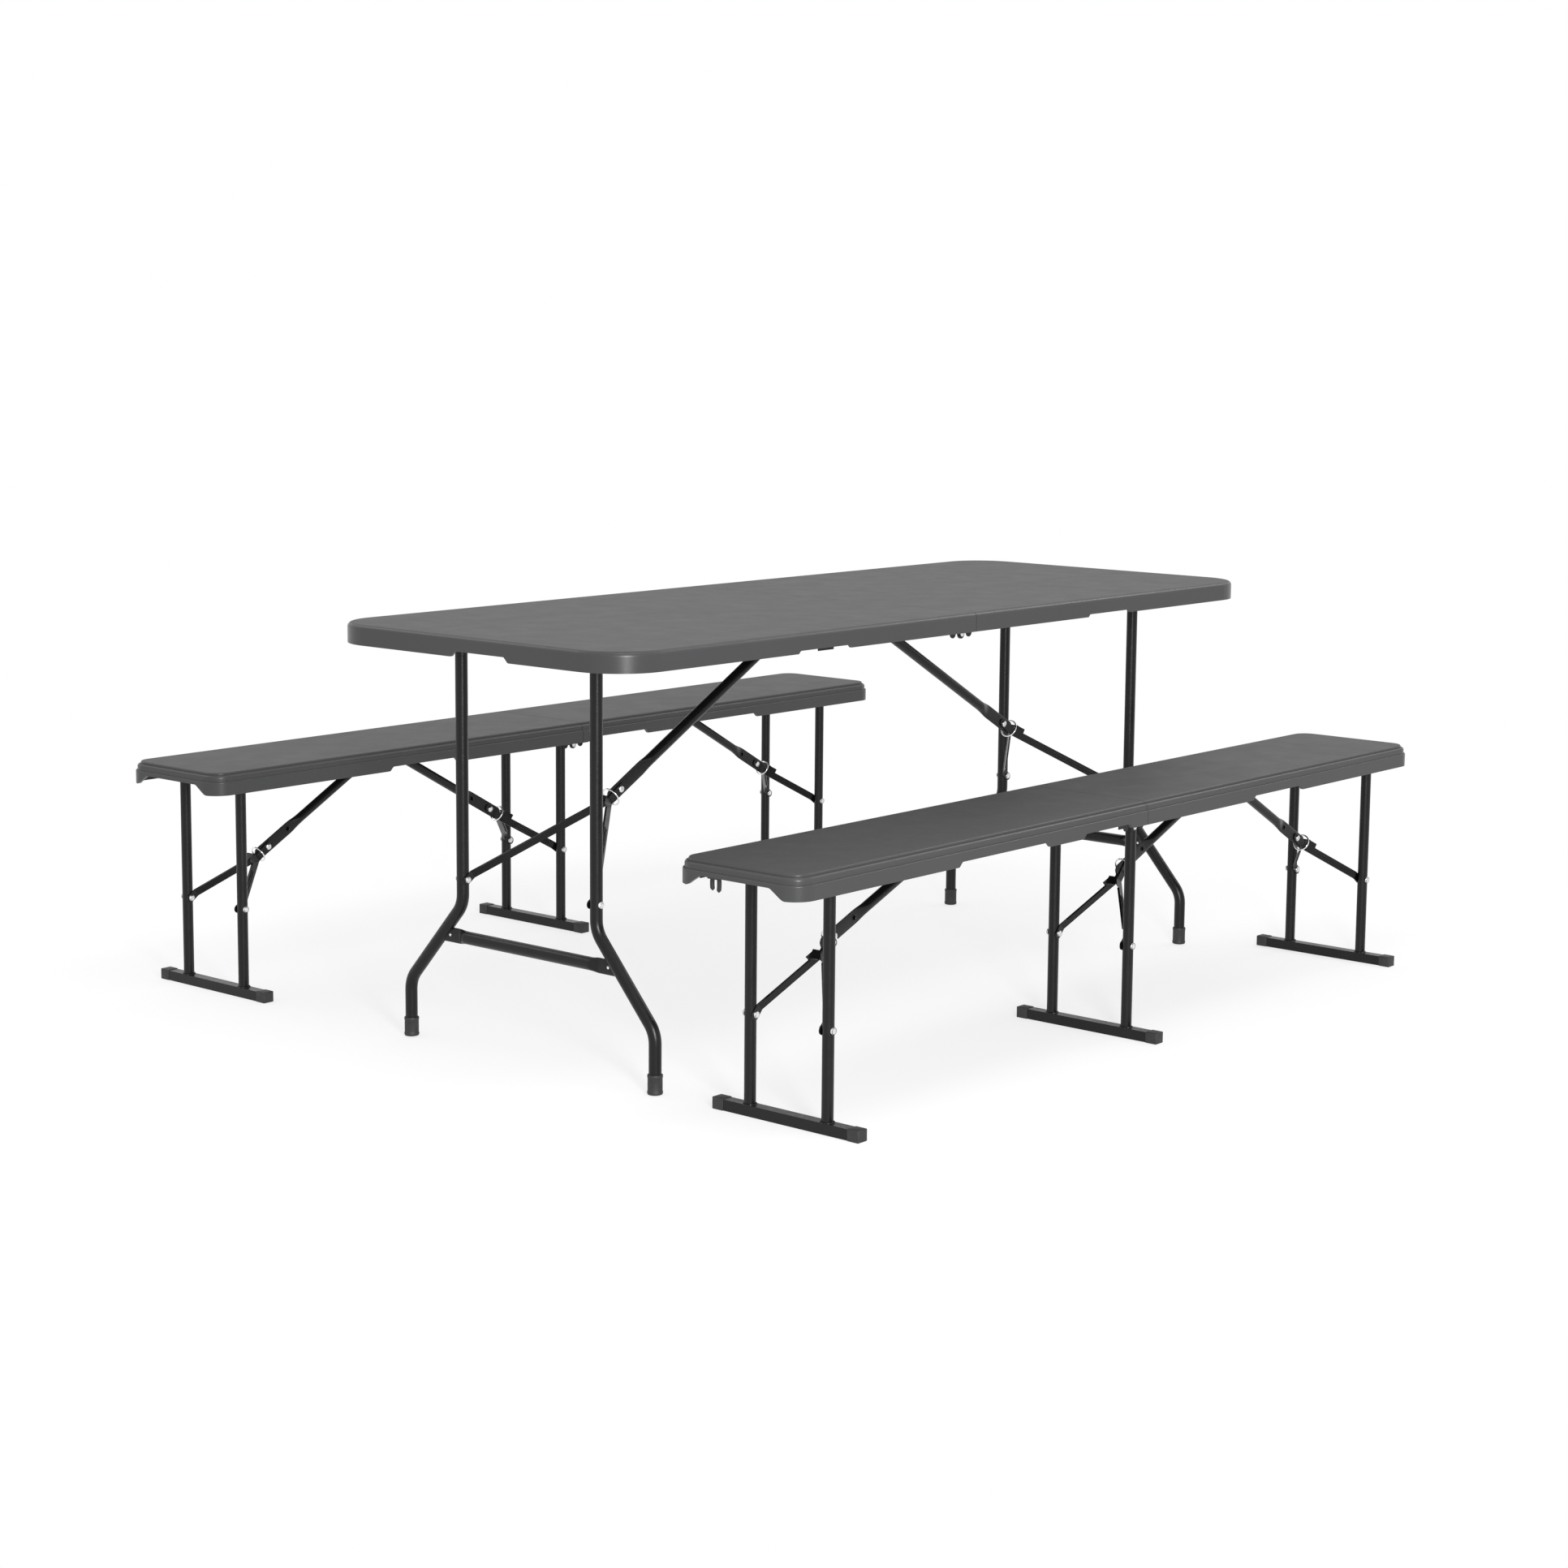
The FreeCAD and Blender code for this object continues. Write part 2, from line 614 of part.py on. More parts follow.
def foot_caps(name, where):
    """The two caps pushed over the ends of the leg tubes."""
    caps = []
    for side in (1, -1):
        centre = f"{side} * table_foot_half"
        cap = rod("foot_cap / 2", "-table_pivot", "foot_cap_height - table_pivot", Z_AXIS, y=centre)
        bore = rod("table_tube / 2 + fixed_play", "foot_sole - table_pivot",
                   "foot_cap_height - table_pivot + 1", Z_AXIS, y=centre)
        caps.append(cut(cap, [bore]))
    return node(group(caps), name, where)


def table_leg(name, where):
    """The pieces that turn with a table leg."""
    node(cut(table_leg_frame(), [leg_rivets("table")]), name + "_frame", where)
    node(leg_rivets("table"), name + "_rivets", where)
    crossbar(name + "_crossbar", where)
    foot_caps(name + "_feet", where)


def bench_leg(name, where):
    """A bench leg: a pivot tube, two straight tubes and a foot bar, welded together, with its brace rivets."""
    foot_top = "foot_bar_height - bench_pivot"
    tube, bore, ends = pivot_tube("bench")
    outside, inside = [tube], [bore]
    for side in (1, -1):
        centre = f"{side} * bench_leg_half"
        outside.append(rod("bench_tube / 2", f"{foot_top} - 1", 0, Z_AXIS, y=centre))
        inside.append(rod("bench_tube / 2 - tube_wall", f"{foot_top} + 2", 0, Z_AXIS, y=centre))
    bar = box(("-foot_bar_depth / 2", "foot_bar_depth / 2"),
              ("-foot_bar_length / 2", "foot_bar_length / 2"), ("-bench_pivot", foot_top))
    channel = box(("-foot_bar_depth / 2 + foot_bar_wall", "foot_bar_depth / 2 - foot_bar_wall"),
                  ("-foot_bar_length / 2 - 1", "foot_bar_length / 2 + 1"),
                  ("foot_bar_wall - bench_pivot", f"{foot_top} - foot_bar_wall"))
    pieces = [cut(fuse(outside), inside), cut(bar, [channel]), leg_rivets("bench")]
    return node(fuse(pieces + ends), name, where)


# ---------------------------------------------------------------- braces


def brace_lengths(kind, turn, slack):
    """The upper and lower lengths: together the straight line and the slack, and level when folded."""
    depth = size(kind + "_pivot") - size(kind + "_rivet_z")
    bracket = size(kind + "_bracket")
    whole = math.hypot(bracket, depth) + slack
    across = bracket - depth * math.sin(math.radians(turn))
    drop = depth * math.cos(math.radians(turn))
    upper = (whole ** 2 - across ** 2 - drop ** 2) / (2 * (whole - across))
    return upper, whole - upper


def brace_places(kind, upper, lower):
    """The upper and the lower brace's own frames in the leg's: origins at the elbow, +X up the brace."""
    depth = size(kind + "_pivot") - size(kind + "_rivet_z")
    bracket = size(kind + "_bracket")
    straight = math.hypot(bracket, depth)
    lift = math.acos((lower ** 2 + straight ** 2 - upper ** 2) / (2 * lower * straight))
    lower_slope = math.atan2(depth, bracket) + lift
    elbow = Vector(lower * math.cos(lower_slope), 0, lower * math.sin(lower_slope) - depth)
    upper_slope = math.atan2(-elbow.z, bracket - elbow.x)
    return [Placement(elbow, Rotation(Y_AXIS, -math.degrees(slope))) for slope in (upper_slope, lower_slope)]


def upper_brace(kind, length):
    """A round tube from the bracket to the elbow, pressed flat over the elbow and its tail."""
    flat, tube = f"{kind}_brace_flat / 2", f"{kind}_brace_tube / 2"
    thick = "flat_thick / 2"
    tail, flat_end = -size("tail"), size("flat_length")
    stations = [(tail, f"{flat} - tail_narrowing", thick), (tail + 3, f"{flat} - tail_narrowing / 3", thick),
                (tail + 7, flat, thick)]
    stations += flare(flat_end, flat_end + size("flare_length"), flat, thick, tube)
    shaft_start = stations[-1][0]
    shaft = rod(tube, shaft_start, f"{length} + bracket_end", X_AXIS)
    bore = rod(f"{tube} - tube_wall", shaft_start + 4, f"{length} + bracket_end + 1", X_AXIS)
    pivot_hole = rod("brace_pin + running_play", "-brace_tab_reach", "brace_tab_reach", x=length)
    elbow_hole = rod("rivet_radius", "-flat_thick", "flat_thick")
    return cut(fuse([flattened_rod(stations), shaft]), [bore, pivot_hole, elbow_hole])


def arm_corners(kind, side, lower, near, far, width):
    """The plan of one arm between two places along the brace, spreading from the elbow to the leg tube."""
    start = size("flat_thick") / 2 + size("arm_gap")
    end = arm_tab_face(kind)
    straight, tab = -size("arm_straight"), -(lower - size("arm_tab"))

    def spread(x):
        """The arm's inner face at a place along the brace."""
        slope = (end - start) / (straight - tab)
        return max(start, min(end, start + slope * (straight - x)))

    stops = [near] + [x for x in (straight, tab) if far < x < near] + [far]
    inner = [(x, side * spread(x), 0) for x in stops]
    outer = [(x, side * (spread(x) + width), 0) for x in reversed(stops)]
    corners = inner + outer
    return corners if side == 1 else list(reversed(corners))


def arm_tab_face(kind):
    """How far the inner faces of the arms' tabs are from the middle."""
    return size(kind + "_leg_half") - size(kind + "_tube") / 2 - size("arm_gap") - size("arm_thick")


def arm_pad(body, plane_offset, corner_lists, height):
    """Pads a plan of the arms upwards from a height beside the brace's axis."""
    sketch = new_sketch(body, "XY_Plane", plane_offset)
    for corners in corner_lists:
        outline(sketch, corners)
    pad(body, sketch, height)


def rounded_end(x, direction):
    """The tool that rounds the arms' ends at a place along the brace."""
    beyond = (f"{x} - {direction} * arm_height / 2", f"{x} + {direction} * (arm_height / 2 + 1)")
    span = beyond if direction == 1 else tuple(reversed(beyond))
    block = box(span, ("-arm_reach", "arm_reach"), ("-arm_height / 2 - 1", "arm_height / 2 + 1"))
    round_part = rod("arm_height / 2", "-arm_reach - 1", "arm_reach + 1", x=beyond[0])
    return cut(block, [round_part])


def lower_brace(kind, lower):
    """The V of two arms: riveted to the sides of the leg tubes, and meeting either side of the elbow.

    A lobe on top joins the arms just below the elbow, where the folded upper brace passes under it.
    """
    thick = size("arm_thick")
    nose, far = size("arm_nose"), -(lower + size("arm_overhang"))
    lobe_start = -(size("arm_straight") + size("lobe_setback"))
    lobe_end = lobe_start - size("lobe_length")
    rib_end = -(lower - size("rib_stop"))
    arms, lobes, ribs = (
        [arm_corners(kind, side, lower, start, end, width) for side in (1, -1)]
        for start, end, width in ((nose, far, thick), (lobe_start, lobe_end, thick),
                                  (lobe_end, rib_end, thick - size("rib_width"))))
    bridge = rectangle(lobe_end, lobe_start, -size("bridge_half"), size("bridge_half"))
    body = new_body("arms")
    arm_pad(body, "-arm_height / 2", arms, "arm_height")
    arm_pad(body, "arm_height / 2 - bridge_thick", lobes, "lobe_rise + bridge_thick")
    arm_pad(body, "arm_height / 2 + lobe_rise - bridge_thick", [bridge], "bridge_thick")
    arm_pad(body, "arm_height / 2 - rib_height", ribs, "rib_height")
    holes = new_sketch(body, "XZ_Plane", "arm_reach")
    holes.addGeometry(Part.Circle(Vector(0, 0, 0), Z_AXIS, size("rivet_radius") + size("running_play")), False)
    pocket(body, holes, "2 * arm_reach", inwards=False)
    inner = arm_tab_face(kind)
    heads = [rod("head_radius", *across(side, f"{inner} - head_thick", f"{inner} + 0.2"), x=-lower)
             for side in (1, -1)]
    return fuse([cut(body, [rounded_end(nose, 1), rounded_end(far, -1)])] + heads)


def elbow_rivet():
    """The rivet through the elbow, with a head outside each arm."""
    plates = "(flat_thick / 2 + 2 * arm_gap + arm_thick)"
    heads = [rod("head_radius", *across(side, plates, f"{plates} + head_thick")) for side in (1, -1)]
    return fuse([rod("rivet_radius", f"-{plates}", plates)] + heads)


def lock_ring(kind, distance):
    """The wire ring that locks the elbow, at a distance below it."""
    ring = document.addObject("Part::Torus", "ring")
    bind(ring, "Radius1", f"{kind}_ring_radius")
    bind(ring, "Radius2", "ring_wire / 2")
    ring.Placement = Placement(Vector(-size(distance), 0, 0), Rotation(Z_AXIS, X_AXIS))
    return group([ring])


def brace(kind, name, where, high=False):
    """The whole brace of one leg. A bench's elbow rivet is fixed in its upper brace."""
    upper, lower = brace_lengths(kind, size(kind + "_leg_turn"), size("high_slack" if high else kind + "_slack"))
    upper_place, lower_place = (where.multiply(own) for own in brace_places(kind, upper, lower))
    node(lower_brace(kind, lower), name + "_lower_brace", lower_place)
    node(lock_ring(kind, "high_ring_at" if high else "ring_at"), name + "_lock_ring", upper_place)
    if kind == "table":
        node(upper_brace(kind, upper), name + "_upper_brace", upper_place)
        node(elbow_rivet(), name + "_elbow_rivet", upper_place)
    else:
        node(fuse([upper_brace(kind, upper), elbow_rivet()]), name + "_upper_brace", upper_place)


def stow_clip(name, where):
    """A small two-pronged clip under the end of a seat, which holds the folded halves together."""
    top = "(bench_height - bench_depth + bench_arch_depth)"
    end = "(bench_length / 2 - bench_wall)"
    pieces = [box((f"{end} - clip_reach", end), ("clip_y - clip_half", "clip_y + clip_half"),
                  (f"{top} - clip_plate", f"{top} + 2"))]
    for side in (1, -1):
        prong = across(side, "clip_prong_inner", "clip_prong_outer")
        pieces.append(box((f"{end} - clip_prong_end", f"{end} - clip_prong_start"),
                          tuple(f"clip_y + {edge}" for edge in prong), (f"{top} - clip_drop", top)))
    return node(fuse(pieces), name, where)


# ---------------------------------------------------------------- the set


def set_offset():
    """Moves the middle of the whole set's footprint to the origin."""
    left = -size("table_length") / 2
    right = size("bench_two_x") + size("bench_length") / 2
    front = size("bench_one_y") - size("foot_bar_length") / 2
    back = size("bench_two_y") + size("foot_bar_length") / 2
    return place(-(left + right) / 2, -(front + back) / 2)


def leg_place(half_place, kind, x, turn):
    """A leg's frame on its half."""
    return half_place.multiply(place(x, 0, size(kind + "_pivot"), turn))


def build_table(where):
    halves = {"a": where.multiply(place(turn=180)), "b": where}
    for half, half_place in halves.items():
        leg_x = size("table_leg_x")
        bracket = leg_x - size("table_bracket")
        table_top(f"table_top_{half}", half_place)
        frame("table", f"table_frame_{half}", half, [(leg_x, bracket)], half_place)
        node(brace_pin("table", bracket), f"table_brace_pin_{half}", half_place)
        leg = leg_place(half_place, "table", leg_x, 180)
        table_leg(f"table_leg_{half}", leg)
        brace("table", f"table_leg_{half}", leg)
    fold_pins("table", "table_fold_pins", where)


def build_bench(name, where, high_elbows=()):
    """A bench of two halves. high_elbows names the legs whose elbows stand higher than the others."""
    halves = {"a": where.multiply(place(turn=180)), "b": where}
    reach = size("bench_bracket")
    middle, end_a, end_b = size("bench_middle_x"), size("bench_end_a_x"), size("bench_end_b_x")
    legs = {
        "a": {"end_a": (end_a, end_a - reach, 180)},
        "b": {"middle": (middle, middle + reach, 0), "end_b": (end_b, end_b - reach, 180)},
    }
    notches = {"a": ["seat_notch_one", "seat_notch_two"], "b": ["seat_notch_three"]}
    for half, half_place in halves.items():
        places = [(pivot, bracket) for pivot, bracket, turn in legs[half].values()]
        bench_seat(f"{name}_seat_{half}", notches[half], half_place)
        frame("bench", f"{name}_frame_{half}", half, places, half_place)
        for leg_name, (pivot, bracket, turn) in legs[half].items():
            leg = leg_place(half_place, "bench", pivot, turn)
            bench_leg(f"{name}_{leg_name}_leg", leg)
            brace("bench", f"{name}_{leg_name}", leg, leg_name in high_elbows)
    fold_pins("bench", f"{name}_fold_pins", where)
    stow_clip(f"{name}_clip", halves["a"])


origin = set_offset()
build_table(origin)
build_bench("bench_one", origin.multiply(place(size("bench_one_x"), size("bench_one_y"))), ("end_a", "middle"))
build_bench("bench_two", origin.multiply(place(size("bench_two_x"), size("bench_two_y"), turn=180)))
document.recompute()

for thing in document.Objects:
    if {"Invalid", "Error"} & set(thing.State):
        raise RuntimeError(f"{thing.Name} ({thing.Label}) failed")
for thing in nodes:
    if thing.Shape.isNull() or not thing.Shape.isValid():
        raise RuntimeError(f"{thing.Label} has no valid shape")

os.makedirs("parts", exist_ok=True)
whole = FreeCAD.BoundBox()
for thing in nodes:
    thing.Shape.exportStep(f"parts/{thing.Label}.step")
    whole.add(thing.Shape.BoundBox)
    print(thing.Label, len(thing.Shape.Solids), round(thing.Shape.Volume / 1000, 1), "cm3")
print(len(nodes), "sub-parts;", whole)
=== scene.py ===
"""The look of a folding picnic table with two folding benches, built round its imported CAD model."""

import json
import math

import bmesh
import bpy
from mathutils import Matrix, Vector, noise

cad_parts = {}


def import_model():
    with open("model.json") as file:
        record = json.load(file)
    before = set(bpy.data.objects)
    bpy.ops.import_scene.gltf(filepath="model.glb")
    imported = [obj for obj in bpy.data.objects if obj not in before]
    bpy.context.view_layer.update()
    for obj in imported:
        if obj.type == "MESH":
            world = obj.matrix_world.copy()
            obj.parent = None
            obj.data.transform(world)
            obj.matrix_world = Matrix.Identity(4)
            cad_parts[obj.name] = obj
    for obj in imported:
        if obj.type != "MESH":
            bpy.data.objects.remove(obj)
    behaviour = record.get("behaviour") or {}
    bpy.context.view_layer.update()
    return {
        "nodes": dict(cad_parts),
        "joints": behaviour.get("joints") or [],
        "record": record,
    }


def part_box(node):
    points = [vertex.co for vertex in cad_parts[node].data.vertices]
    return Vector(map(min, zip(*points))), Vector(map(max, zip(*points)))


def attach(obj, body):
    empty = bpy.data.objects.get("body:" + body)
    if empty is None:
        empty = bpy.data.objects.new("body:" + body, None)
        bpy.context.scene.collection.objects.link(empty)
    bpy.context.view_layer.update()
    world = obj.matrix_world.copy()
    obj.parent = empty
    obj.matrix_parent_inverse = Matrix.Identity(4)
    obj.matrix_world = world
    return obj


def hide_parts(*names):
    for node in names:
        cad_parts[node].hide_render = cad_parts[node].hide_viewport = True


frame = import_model()

JOINTS = {joint["name"]: joint for joint in frame["joints"]}
BENCHES = ["bench_one", "bench_two"]
BENCH_LEGS = [f"{bench}_{leg}" for bench in BENCHES for leg in ("end_a", "middle", "end_b")]
TABLE_LEGS = ["table_leg_a", "table_leg_b"]

# sizes of the CAD model that the pieces below are fitted to, in metres
TABLE_TUBE, BENCH_TUBE = 0.021, 0.019
TABLE_LEG_HALF, BENCH_LEG_HALF = 0.157, 0.079
TABLE_RIVET_Z, BENCH_RIVET_Z = 0.292, 0.1625
ARM_THICK = 0.002
ELBOW_HALF = 0.0037
BAR_HEIGHT, BAR_DEPTH = 0.018, 0.020
ARM_STRAIGHT, ARM_TAB, ARM_GAP = 0.032, 0.014, 0.0001
BEAD_RADIUS, BEAD_SINK = 0.0013, 0.0003
BEAD_OFFSETS, BEAD_SHARES = (-0.0042, 0.0008), (0.30, 0.90)
FLAT_HALF, FLAT_HOLE, HOLE_RADIUS = 0.0015, 0.055, 0.0036
CLIP_PRONG, CLIP_SPREAD, CLIP_REACH, CLIP_PLATE = 0.0075, 0.00625, 0.022, 0.0055
PRONG_WIDTH, PRONG_DEPTH, PRONG_BOW = 0.0066, 0.0052, 0.0009
CAP_LENGTH, CAP_PROUD, CAP_END = 0.021, 0.0011, 0.0015
WELD_SIZE = 0.0021
CROSSBAR_Z, CROSSBAR_RIVET, CROSSBAR_FACE = 0.192, 0.186, 0.003
FOOT_HALF, FOOT_CAP = 0.288, 0.01225
CAP_HEIGHT = 0.033
SHARP_EDGE = math.radians(40)
FLOOR_Z = -0.001
FLOOR_CLEAR, FLOOR_WHITE, FLOOR_GLOW = 0.9, 2.4, 0.7


# ---------------------------------------------------------------- materials


class Tree:
    """A material's node tree, with short calls to add nodes and join them."""

    def __init__(self, name):
        self.material = bpy.data.materials.new(name)
        self.material.use_nodes = True
        self.nodes = self.material.node_tree.nodes
        self.shader = self.nodes["Principled BSDF"]
        self.place = self.add("ShaderNodeTexCoord").outputs["Object"]

    def add(self, kind, **settings):
        node = self.nodes.new(kind)
        for key, value in settings.items():
            if key in node.inputs:
                node.inputs[key].default_value = value
            else:
                setattr(node, key, value)
        return node

    def join(self, source, target):
        self.material.node_tree.links.new(source, target)

    def noise(self, scale, detail=2.0, roughness=0.5, stretch=None):
        """Noise over the object, which may be stretched along the axes."""
        texture = self.add("ShaderNodeTexNoise", Scale=scale, Detail=detail, Roughness=roughness)
        place = self.place
        if stretch:
            mapping = self.add("ShaderNodeMapping", Scale=stretch)
            self.join(self.place, mapping.inputs["Vector"])
            place = mapping.outputs["Vector"]
        self.join(place, texture.inputs["Vector"])
        return texture.outputs["Fac"]

    def ramp(self, factor, stops):
        """A colour ramp through (position, value or colour) stops."""
        node = self.add("ShaderNodeValToRGB")
        elements = node.color_ramp.elements
        while len(elements) < len(stops):
            elements.new(0.5)
        for element, (position, value) in zip(elements, stops):
            element.position = position
            element.color = (*value, 1) if hasattr(value, "__len__") else (value, value, value, 1)
        self.join(factor, node.inputs["Fac"])
        return node.outputs["Color"]

    def mix(self, kind, factor, first, second):
        """Two colours mixed by a number or an output."""
        node = self.add("ShaderNodeMix", data_type="RGBA", blend_type=kind)
        for name, value in (("Factor", factor), ("A", first), ("B", second)):
            socket = next(s for s in node.inputs if s.name == name and s.enabled)
            if isinstance(value, bpy.types.NodeSocket):
                self.join(value, socket)
            else:
                socket.default_value = value
        return next(s for s in node.outputs if s.enabled)

    def bump(self, height, distance, strength=1.0, after=None):
        node = self.add("ShaderNodeBump", Distance=distance, Strength=strength)
        self.join(height, node.inputs["Height"])
        if after is not None:
            self.join(after, node.inputs["Normal"])
        return node.outputs["Normal"]

    def finish(self, colour=None, roughness=None, normal=None):
        for name, output in (("Base Color", colour), ("Roughness", roughness), ("Normal", normal)):
            if output is not None:
                self.join(output, self.shader.inputs[name])
        return self.material


def set_shader(tree, **settings):
    for name, value in settings.items():
        tree.shader.inputs[name.replace("_", " ")].default_value = value


def moulded_plastic():
    """Blow-moulded polyethylene, dark grey: satin and pebbled on the flat, smoother at its edges."""
    tree = Tree("moulded_plastic")
    clouds = tree.noise(3.0, detail=3.0)
    grain = tree.noise(900.0, detail=2.0, roughness=0.6)
    base = tree.ramp(clouds, [(0.3, (0.0360, 0.0362, 0.0374)), (0.7, (0.0408, 0.0410, 0.0423))])
    speckle = tree.ramp(grain, [(0.35, 0.94), (0.65, 1.05)])
    colour = tree.mix("MULTIPLY", 1.0, base, speckle)
    facing = tree.add("ShaderNodeTexCoord")
    upward = tree.add("ShaderNodeSeparateXYZ")
    tree.join(facing.outputs["Normal"], upward.inputs["Vector"])
    polish = tree.ramp(upward.outputs["Z"], [(0.0, 0.30), (0.3, 0.32), (0.82, 0.34), (0.97, 0.53)])
    wear = tree.ramp(tree.noise(18.0, detail=4.0, roughness=0.6), [(0.35, 0.96), (0.65, 1.04)])
    roughness = tree.mix("MULTIPLY", 1.0, polish, wear)
    pebbles = tree.add("ShaderNodeTexVoronoi", Scale=900.0)
    tree.join(tree.place, pebbles.inputs["Vector"])
    normal = tree.bump(pebbles.outputs["Distance"], 0.00006, 0.5)
    normal = tree.bump(grain, 0.00006, 0.4, after=normal)
    set_shader(tree, Specular_IOR_Level=0.31)
    return tree.finish(colour, roughness, normal)


def powder_coat():
    """Satin black powder coat with its fine orange peel."""
    tree = Tree("powder_coat")
    cover = tree.noise(35.0, detail=3.0)
    colour = tree.ramp(cover, [(0.3, (0.0026, 0.0026, 0.0028)), (0.7, (0.0040, 0.0040, 0.0042))])
    roughness = tree.ramp(tree.noise(120.0), [(0.3, 0.28), (0.7, 0.35)])
    set_shader(tree, Specular_IOR_Level=0.28)
    peel = tree.noise(420.0, detail=1.0)
    normal = tree.bump(peel, 0.00022, 0.6)
    return tree.finish(colour, roughness, normal)


def bright_metal(name, colour_low, colour_high, rough_low, rough_high, grain):
    """Plated metal: its tone and polish vary over small patches."""
    tree = Tree(name)
    patches = tree.noise(180.0, detail=3.0)
    colour = tree.ramp(patches, [(0.3, colour_low), (0.7, colour_high)])
    roughness = tree.ramp(tree.noise(400.0, detail=2.0), [(0.3, rough_low), (0.7, rough_high)])
    normal = tree.bump(tree.noise(900.0), 0.00005, grain)
    set_shader(tree, Metallic=1.0)
    return tree.finish(colour, roughness, normal)


def black_cap():
    """Black moulded caps and clips: matt, with a soft mottled skin."""
    tree = Tree("black_cap")
    cover = tree.noise(60.0, detail=3.0)
    colour = tree.ramp(cover, [(0.3, (0.009, 0.009, 0.0095)), (0.7, (0.016, 0.016, 0.0165))])
    roughness = tree.ramp(tree.noise(200.0), [(0.3, 0.5), (0.7, 0.66)])
    normal = tree.bump(tree.noise(700.0), 0.0002, 0.5)
    return tree.finish(colour, roughness, normal)


def deep_shade():
    """Nearly black painted shade, for the discs that stand for the dark inside of small punched holes. It is
    no slot of the record.
    """
    tree = Tree("deep_shade")
    colour = tree.ramp(tree.noise(300.0), [(0.3, (0.0010, 0.0010, 0.0011)), (0.7, (0.0022, 0.0022, 0.0023))])
    set_shader(tree, Roughness=1.0, Specular_IOR_Level=0.02)
    return tree.finish(colour)


def pale_floor():
    """A plain pale studio floor that grows lighter away from the middle, until it meets the backdrop."""
    tree = Tree("pale_floor")
    set_shader(tree, Base_Color=(0.86, 0.86, 0.86, 1.0), Roughness=0.9, Specular_IOR_Level=0.1)
    distance = tree.add("ShaderNodeVectorMath", operation="LENGTH")
    tree.join(tree.place, distance.inputs[0])
    spread = tree.add("ShaderNodeMapRange", interpolation_type="SMOOTHSTEP")
    for name, value in (("From Min", FLOOR_CLEAR), ("From Max", FLOOR_WHITE), ("To Min", FLOOR_GLOW)):
        spread.inputs[name].default_value = value
    tree.join(distance.outputs["Value"], spread.inputs["Value"])
    glow = tree.add("ShaderNodeEmission", Strength=1.0)
    blend = tree.add("ShaderNodeMixShader")
    tree.join(spread.outputs["Result"], blend.inputs["Fac"])
    tree.join(tree.shader.outputs["BSDF"], blend.inputs[1])
    tree.join(glow.outputs["Emission"], blend.inputs[2])
    tree.join(blend.outputs["Shader"], tree.nodes["Material Output"].inputs["Surface"])
    return tree.material


MATERIALS = {
    "moulded_top": moulded_plastic(),
    "powder_coat": powder_coat(),
    "zinc": bright_metal("zinc", (0.62, 0.62, 0.63), (0.82, 0.82, 0.82), 0.2, 0.36, 0.6),
    "ring_chrome": bright_metal("ring_chrome", (0.74, 0.74, 0.75), (0.88, 0.88, 0.88), 0.1, 0.2, 0.3),
    "black_cap": black_cap(),
}
# HOLE_SHADE is painted shade: the near-black colour of the discs that stand for punched holes.
HOLE_SHADE = deep_shade()

for part in frame["record"]["subparts"]:
    node = frame["nodes"][part["node"]]
    node.data.materials.clear()
    node.data.materials.append(MATERIALS[part["material_slot"]])


# ---------------------------------------------------------------- pieces


def piece(name, mesh, slot, body, replaced=()):
    """Makes one object of a bmesh, in the row frame, and lets it ride on a body."""
    bmesh.ops.remove_doubles(mesh, verts=mesh.verts, dist=1e-7)
    bmesh.ops.recalc_face_normals(mesh, faces=mesh.faces)
    data = bpy.data.meshes.new(name)
    mesh.to_mesh(data)
    mesh.free()
    data.materials.append(MATERIALS[slot])
    data.polygons.foreach_set("use_smooth", [True] * len(data.polygons))
    data.set_sharp_from_angle(angle=SHARP_EDGE)
    thing = bpy.data.objects.new(name, data)
    bpy.context.scene.collection.objects.link(thing)
    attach(thing, body)
    if replaced:
        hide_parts(*replaced)
    return thing


def lathe(mesh, profile, centre, axis, segments=32):
    """Turns a profile of (radius, height) points about an axis; zero radius closes an end."""
    turn = Vector((0, 0, 1)).rotation_difference(Vector(axis)).to_matrix()
    rings = []
    for radius, height in profile:
        if radius == 0:
            rings.append([mesh.verts.new(Vector(centre) + turn @ Vector((0, 0, height)))])
            continue
        ring = []
        for i in range(segments):
            angle = 2 * math.pi * i / segments
            point = Vector((radius * math.cos(angle), radius * math.sin(angle), height))
            ring.append(mesh.verts.new(Vector(centre) + turn @ point))
        rings.append(ring)
    for low, high in zip(rings, rings[1:]):
        for i in range(segments):
            j = (i + 1) % segments
            corners = [low[i % len(low)], low[j % len(low)], high[j % len(high)], high[i % len(high)]]
            corners = list(dict.fromkeys(corners))
            if len(corners) > 2:
                mesh.faces.new(corners)


def rivet_head(mesh, centre, axis, radius=0.0060, height=0.0036, skirt=0.0012):
    """A low domed head with a short upright rim, standing on its centre along the axis."""
    steps = 9
    profile = [(0, 0), (radius, 0), (radius, skirt)]
    for i in range(1, steps):
        share = i / steps
        r = radius * math.cos(share * math.pi / 2) ** 0.8
        profile.append((r, skirt + (height - skirt) * math.sin(share * math.pi / 2)))
    profile.append((0, height))
    lathe(mesh, profile, centre, axis)


def elbow(leg):
    return Vector(JOINTS[leg + "_elbow_turn"]["pos_m"])


def pivot(leg):
    return Vector(JOINTS[leg + "_leg_fold"]["pos_m"])


def both_sides():
    return (Vector((0, -1, 0)), Vector((0, 1, 0)))


def leg_sizes(kind):
    """A leg's tube diameter, the distance of its tubes from the middle, and its rivets' height."""
    return {
        "table": (TABLE_TUBE, TABLE_LEG_HALF, TABLE_RIVET_Z),
        "bench": (BENCH_TUBE, BENCH_LEG_HALF, BENCH_RIVET_Z),
    }[kind]


